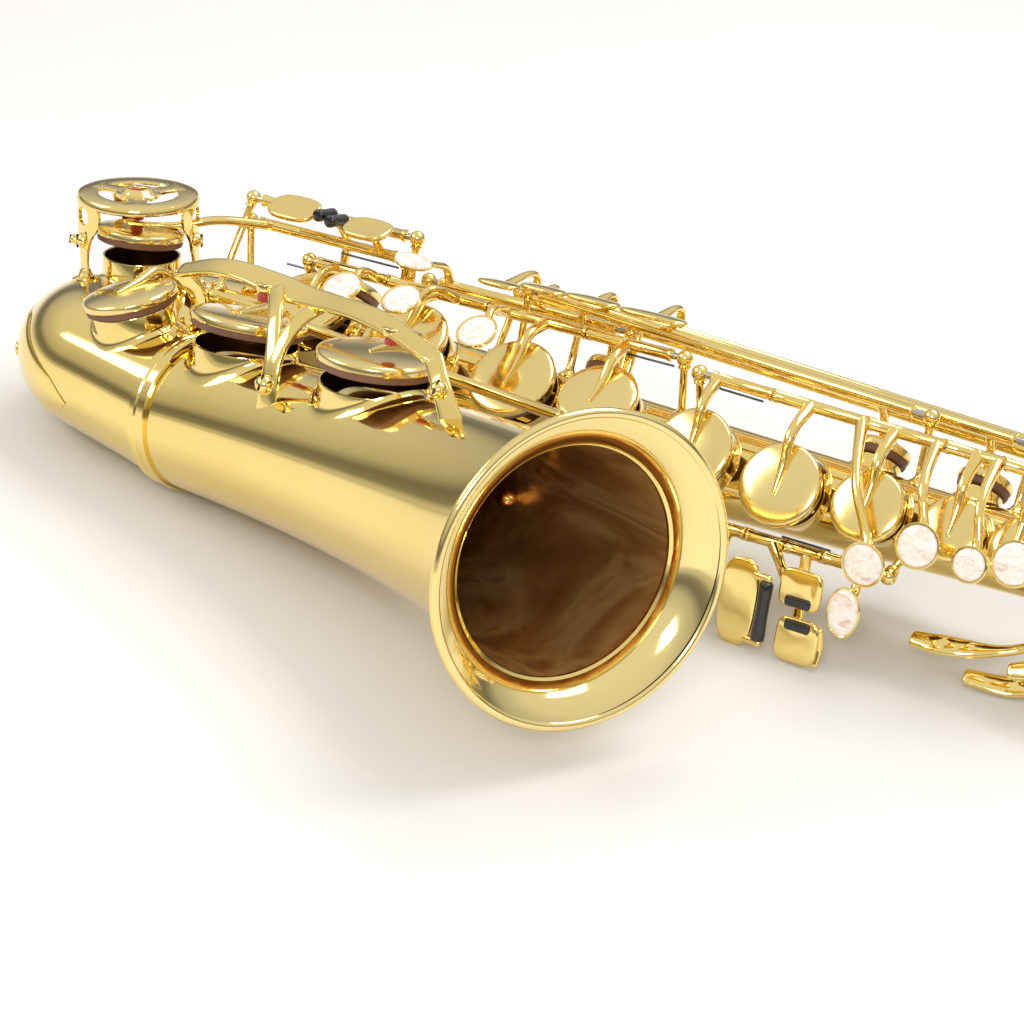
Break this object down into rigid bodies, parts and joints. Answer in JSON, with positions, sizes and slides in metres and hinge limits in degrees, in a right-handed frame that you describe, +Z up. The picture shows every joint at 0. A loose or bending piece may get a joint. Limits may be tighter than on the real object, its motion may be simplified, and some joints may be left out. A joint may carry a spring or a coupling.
{
  "type": "saxophone",
  "caption": "Alto saxophone laid on its side: lacquered brass body, bow and flared bell, sprung padded keys, guards, pearl touches, curved neck and mouthpiece.",
  "frame": {"origin": "middle of the bounding box in plan, at the surface that the horn lies on", "axes": "+X runs along the body tube from the bow to the neck, +Z is up as the horn lies with its right-hand keys upward, and the bell lies on the -Y side"},
  "size_m": [0.694, 0.4222, 0.1382],
  "materials": {
    "lacquered_brass": "polished, clear gold lacquer",
    "steel_rod": "polished",
    "blued_steel": "blued",
    "red_felt": "felt",
    "cork": "sanded cork",
    "black_ebonite": "polished",
    "cane": "scraped cane",
    "black_resin": "polished"
  },
  "bodies": {
    "horn": {"body_tube": "lacquered_brass", "bow": "lacquered_brass", "bell": "lacquered_brass", "bell_tone_holes": "lacquered_brass", "bow_tone_holes": "lacquered_brass", "body_ring": "lacquered_brass", "bell_ring": "lacquered_brass", "bow_guard": "lacquered_brass", "bell_brace": "lacquered_brass", "low_c_guard": "lacquered_brass", "low_b_guard": "lacquered_brass", "guard_screws": "lacquered_brass", "guard_felts": "red_felt", "body_pillars": "lacquered_brass", "bell_pillars": "lacquered_brass", "pivot_rods": "steel_rod", "needle_springs": "blued_steel", "strap_ring": "lacquered_brass", "thumb_hook": "lacquered_brass", "thumb_rest": "black_resin", "neck_socket": "lacquered_brass", "neck_screw": "lacquered_brass", "neck_tenon": "lacquered_brass", "neck": "lacquered_brass", "neck_cork": "cork", "mouthpiece": "black_ebonite", "ligature": "lacquered_brass", "reed": "cane"},
    "low_c_key": {"low_c_key": "lacquered_brass"},
    "eb_key": {"eb_key": "lacquered_brass"},
    "low_csharp_key": {"low_csharp_key": "lacquered_brass"},
    "low_b_key": {"low_b_key": "lacquered_brass"},
    "low_bb_key": {"low_bb_key": "lacquered_brass"},
    "d_key": {"d_key": "lacquered_brass"},
    "e_key": {"e_key": "lacquered_brass"},
    "f_key": {"f_key": "lacquered_brass"},
    "fsharp_key": {"fsharp_key": "lacquered_brass"},
    "gsharp_key": {"gsharp_key": "lacquered_brass"},
    "g_key": {"g_key": "lacquered_brass"},
    "a_key": {"a_key": "lacquered_brass"},
    "bis_key": {"bis_key": "lacquered_brass"},
    "b_key": {"b_key": "lacquered_brass"},
    "c_key": {"c_key": "lacquered_brass"},
    "side_bb_key": {"side_bb_key": "lacquered_brass"},
    "side_c_key": {"side_c_key": "lacquered_brass"},
    "side_e_key": {"side_e_key": "lacquered_brass"},
    "high_fsharp_key": {"high_fsharp_key": "lacquered_brass"},
    "trill_key": {"trill_key": "lacquered_brass"},
    "palm_d_key": {"palm_d_key": "lacquered_brass"},
    "palm_eb_key": {"palm_eb_key": "lacquered_brass"},
    "palm_f_key": {"palm_f_key": "lacquered_brass"},
    "csharp_touch": {"csharp_touch": "lacquered_brass"},
    "b_touch": {"b_touch": "lacquered_brass"},
    "bb_touch": {"bb_touch": "lacquered_brass"},
    "gsharp_touch": {"gsharp_touch": "lacquered_brass"},
    "octave_lever": {"octave_lever": "lacquered_brass"},
    "neck_octave_key": {"neck_octave_key": "lacquered_brass"},
    "bb_roller": {"bb_roller": "black_resin"},
    "eb_roller": {"eb_roller": "black_resin"},
    "c_roller": {"c_roller": "black_resin"}
  },
  "joints": [
    {"name": "d_turn", "type": "hinge", "parent": "horn", "child": "d_key", "pos_m": [-0.20458, 0.01592, 0.08075], "axis": [0.9992, 0, 0.041], "range_deg": [0, 11], "stiffness_Nm_per_rad": 0.05, "springref_deg": -34.38},
    {"name": "e_turn", "type": "hinge", "parent": "horn", "child": "e_key", "pos_m": [-0.15762, 0.01592, 0.08268], "axis": [0.9992, 0, 0.041], "range_deg": [0, 10.5], "stiffness_Nm_per_rad": 0.05, "springref_deg": -34.38},
    {"name": "f_turn", "type": "hinge", "parent": "horn", "child": "f_key", "pos_m": [-0.10567, 0.01592, 0.08481], "axis": [0.9992, 0, 0.041], "range_deg": [0, 9.6], "stiffness_Nm_per_rad": 0.05, "springref_deg": -34.38},
    {"name": "fsharp_turn", "type": "hinge", "parent": "horn", "child": "fsharp_key", "pos_m": [-0.05871, 0.01592, 0.08674], "axis": [0.9992, 0, 0.041], "range_deg": [0, 10.5], "stiffness_Nm_per_rad": 0.012, "springref_deg": -34.38},
    {"name": "gsharp_turn", "type": "hinge", "parent": "horn", "child": "gsharp_key", "pos_m": [-0.00066, 0.00931, 0.08689], "axis": [0.9999, -0.0058, 0.0137], "range_deg": [-8, 0], "stiffness_Nm_per_rad": 0.05, "springref_deg": 34.38},
    {"name": "g_turn", "type": "hinge", "parent": "horn", "child": "g_key", "pos_m": [0.03535, 0.00911, 0.08738], "axis": [0.9999, -0.0058, 0.0137], "range_deg": [0, 8], "stiffness_Nm_per_rad": 0.05, "springref_deg": -34.38},
    {"name": "a_turn", "type": "hinge", "parent": "horn", "child": "a_key", "pos_m": [0.07436, 0.00888, 0.08791], "axis": [0.9999, -0.0058, 0.0137], "range_deg": [0, 8], "stiffness_Nm_per_rad": 0.05, "springref_deg": -34.38},
    {"name": "bis_turn", "type": "hinge", "parent": "horn", "child": "bis_key", "pos_m": [0.10436, 0.0087, 0.08832], "axis": [0.9999, -0.0058, 0.0137], "range_deg": [0, 8], "stiffness_Nm_per_rad": 0.05, "springref_deg": -34.38},
    {"name": "b_turn", "type": "hinge", "parent": "horn", "child": "b_key", "pos_m": [0.13037, 0.00855, 0.08868], "axis": [0.9999, -0.0058, 0.0137], "range_deg": [0, 8], "stiffness_Nm_per_rad": 0.05, "springref_deg": -34.38},
    {"name": "c_turn", "type": "hinge", "parent": "horn", "child": "c_key", "pos_m": [0.15538, 0.00841, 0.08902], "axis": [0.9999, -0.0058, 0.0137], "range_deg": [0, 8], "stiffness_Nm_per_rad": 0.012, "springref_deg": -34.38},
    {"name": "low_c_turn", "type": "hinge", "parent": "horn", "child": "low_c_key", "pos_m": [-0.23082, 0.02953, 0.08599], "axis": [0.9992, 0, 0.041], "range_deg": [0, 7.5], "stiffness_Nm_per_rad": 0.12, "springref_deg": -34.38},
    {"name": "eb_turn", "type": "hinge", "parent": "horn", "child": "eb_key", "pos_m": [-0.22924, 0.03172, 0.09633], "axis": [0.9992, 0, 0.041], "range_deg": [0, 8], "stiffness_Nm_per_rad": 0.05, "springref_deg": -34.38},
    {"name": "low_csharp_turn", "type": "hinge", "parent": "horn", "child": "low_csharp_key", "pos_m": [-0.25545, -0.03967, 0.07657], "axis": [0.9949, -0.0961, 0.0313], "range_deg": [-7, 0], "stiffness_Nm_per_rad": 0.12, "springref_deg": 34.38},
    {"name": "low_b_turn", "type": "hinge", "parent": "horn", "child": "low_b_key", "pos_m": [-0.19148, -0.04585, 0.07858], "axis": [0.9949, -0.0961, 0.0313], "range_deg": [0, 9], "stiffness_Nm_per_rad": 0.12, "springref_deg": -34.38},
    {"name": "low_bb_turn", "type": "hinge", "parent": "horn", "child": "low_bb_key", "pos_m": [-0.09253, -0.05541, 0.0817], "axis": [0.9949, -0.0961, 0.0313], "range_deg": [0, 5.5], "stiffness_Nm_per_rad": 0.12, "springref_deg": -34.38},
    {"name": "side_bb_turn", "type": "hinge", "parent": "horn", "child": "side_bb_key", "pos_m": [-0.02282, 0.02864, 0.09032], "axis": [0.9999, -0.0104, -0.0079], "range_deg": [0, 8], "stiffness_Nm_per_rad": 0.05, "springref_deg": -34.38},
    {"name": "side_c_turn", "type": "hinge", "parent": "horn", "child": "side_c_key", "pos_m": [0.00727, 0.03516, 0.08858], "axis": [0.9999, -0.0104, -0.0079], "range_deg": [0, 8], "stiffness_Nm_per_rad": 0.05, "springref_deg": -34.38},
    {"name": "side_e_turn", "type": "hinge", "parent": "horn", "child": "side_e_key", "pos_m": [0.05742, 0.04134, 0.08604], "axis": [0.9999, -0.0104, -0.0079], "range_deg": [0, 8], "stiffness_Nm_per_rad": 0.05, "springref_deg": -34.38},
    {"name": "high_fsharp_turn", "type": "hinge", "parent": "horn", "child": "high_fsharp_key", "pos_m": [0.03772, 0.04703, 0.07829], "axis": [0.9999, -0.0104, -0.0079], "range_deg": [0, 7], "stiffness_Nm_per_rad": 0.05, "springref_deg": -34.38},
    {"name": "trill_turn", "type": "hinge", "parent": "horn", "child": "trill_key", "pos_m": [-0.12446, 0.03832, 0.07927], "axis": [0.9992, 0, 0.041], "range_deg": [0, 7], "stiffness_Nm_per_rad": 0.05, "springref_deg": -34.38},
    {"name": "palm_d_turn", "type": "hinge", "parent": "horn", "child": "palm_d_key", "pos_m": [0.14998, 0.0015, 0.02541], "axis": [0.0217, 0.848, -0.5296], "range_deg": [0, 7], "stiffness_Nm_per_rad": 0.05, "springref_deg": -34.38},
    {"name": "palm_eb_turn", "type": "hinge", "parent": "horn", "child": "palm_eb_key", "pos_m": [0.18003, 0.02772, 0.0248], "axis": [-0.0167, 0.9136, 0.4062], "range_deg": [0, 7], "stiffness_Nm_per_rad": 0.05, "springref_deg": -34.38},
    {"name": "palm_f_turn", "type": "hinge", "parent": "horn", "child": "palm_f_key", "pos_m": [0.1964, -0.00962, 0.04058], "axis": [0.038, 0.3744, -0.9265], "range_deg": [0, 7], "stiffness_Nm_per_rad": 0.05, "springref_deg": -34.38},
    {"name": "csharp_touch_turn", "type": "hinge", "parent": "horn", "child": "csharp_touch", "pos_m": [0.01347, -0.01612, 0.03513], "axis": [0.9992, 0, 0.041], "range_deg": [0, 8], "stiffness_Nm_per_rad": 0.012, "springref_deg": -34.38},
    {"name": "b_touch_turn", "type": "hinge", "parent": "horn", "child": "b_touch", "pos_m": [0.03046, -0.01612, 0.03583], "axis": [0.9992, 0, 0.041], "range_deg": [0, 8], "stiffness_Nm_per_rad": 0.012, "springref_deg": -34.38},
    {"name": "bb_touch_turn", "type": "hinge", "parent": "horn", "child": "bb_touch", "pos_m": [0.04844, -0.01612, 0.03657], "axis": [0.9992, 0, 0.041], "range_deg": [0, 8], "stiffness_Nm_per_rad": 0.012, "springref_deg": -34.38},
    {"name": "gsharp_touch_turn", "type": "hinge", "parent": "horn", "child": "gsharp_touch", "pos_m": [0.06842, -0.01612, 0.03739], "axis": [0.9992, 0, 0.041], "range_deg": [0, 8], "stiffness_Nm_per_rad": 0.012, "springref_deg": -34.38},
    {"name": "octave_turn", "type": "hinge", "parent": "horn", "child": "octave_lever", "pos_m": [0.09975, 0.03418, 0.03001], "axis": [0.9992, 0, 0.041], "range_deg": [0, 6], "stiffness_Nm_per_rad": 0.012, "springref_deg": -34.38},
    {"name": "neck_octave_turn", "type": "hinge", "parent": "horn", "child": "neck_octave_key", "pos_m": [0.33422, 0.011, 0.05787], "axis": [0.0401, -0.2081, -0.9773], "range_deg": [0, 3.5], "stiffness_Nm_per_rad": 0.012, "springref_deg": -34.38},
    {"name": "bb_roller_spin", "type": "hinge", "parent": "csharp_touch", "child": "bb_roller", "pos_m": [0.04372, -0.04009, 0.01743], "axis": [0.0401, -0.2081, -0.9773], "continuous": true},
    {"name": "eb_roller_spin", "type": "hinge", "parent": "eb_key", "child": "eb_roller", "pos_m": [-0.22213, 0.0168, 0.10338], "axis": [-0.0085, -0.9781, 0.2079], "continuous": true},
    {"name": "c_roller_spin", "type": "hinge", "parent": "low_c_key", "child": "c_roller", "pos_m": [-0.21538, 0.01651, 0.10229], "axis": [-0.0085, -0.9781, 0.2079], "continuous": true}
  ],
  "couplings": [
    {"joint": "fsharp_turn", "follows": "f_turn", "ratio": 1.0938},
    {"joint": "c_turn", "follows": "b_turn", "ratio": 1},
    {"joint": "csharp_touch_turn", "follows": "low_csharp_turn", "ratio": -1.1429},
    {"joint": "b_touch_turn", "follows": "low_b_turn", "ratio": 0.88889},
    {"joint": "bb_touch_turn", "follows": "low_bb_turn", "ratio": 1.4545},
    {"joint": "gsharp_touch_turn", "follows": "gsharp_turn", "ratio": -1},
    {"joint": "neck_octave_turn", "follows": "octave_turn", "ratio": 0.58333}
  ]
}
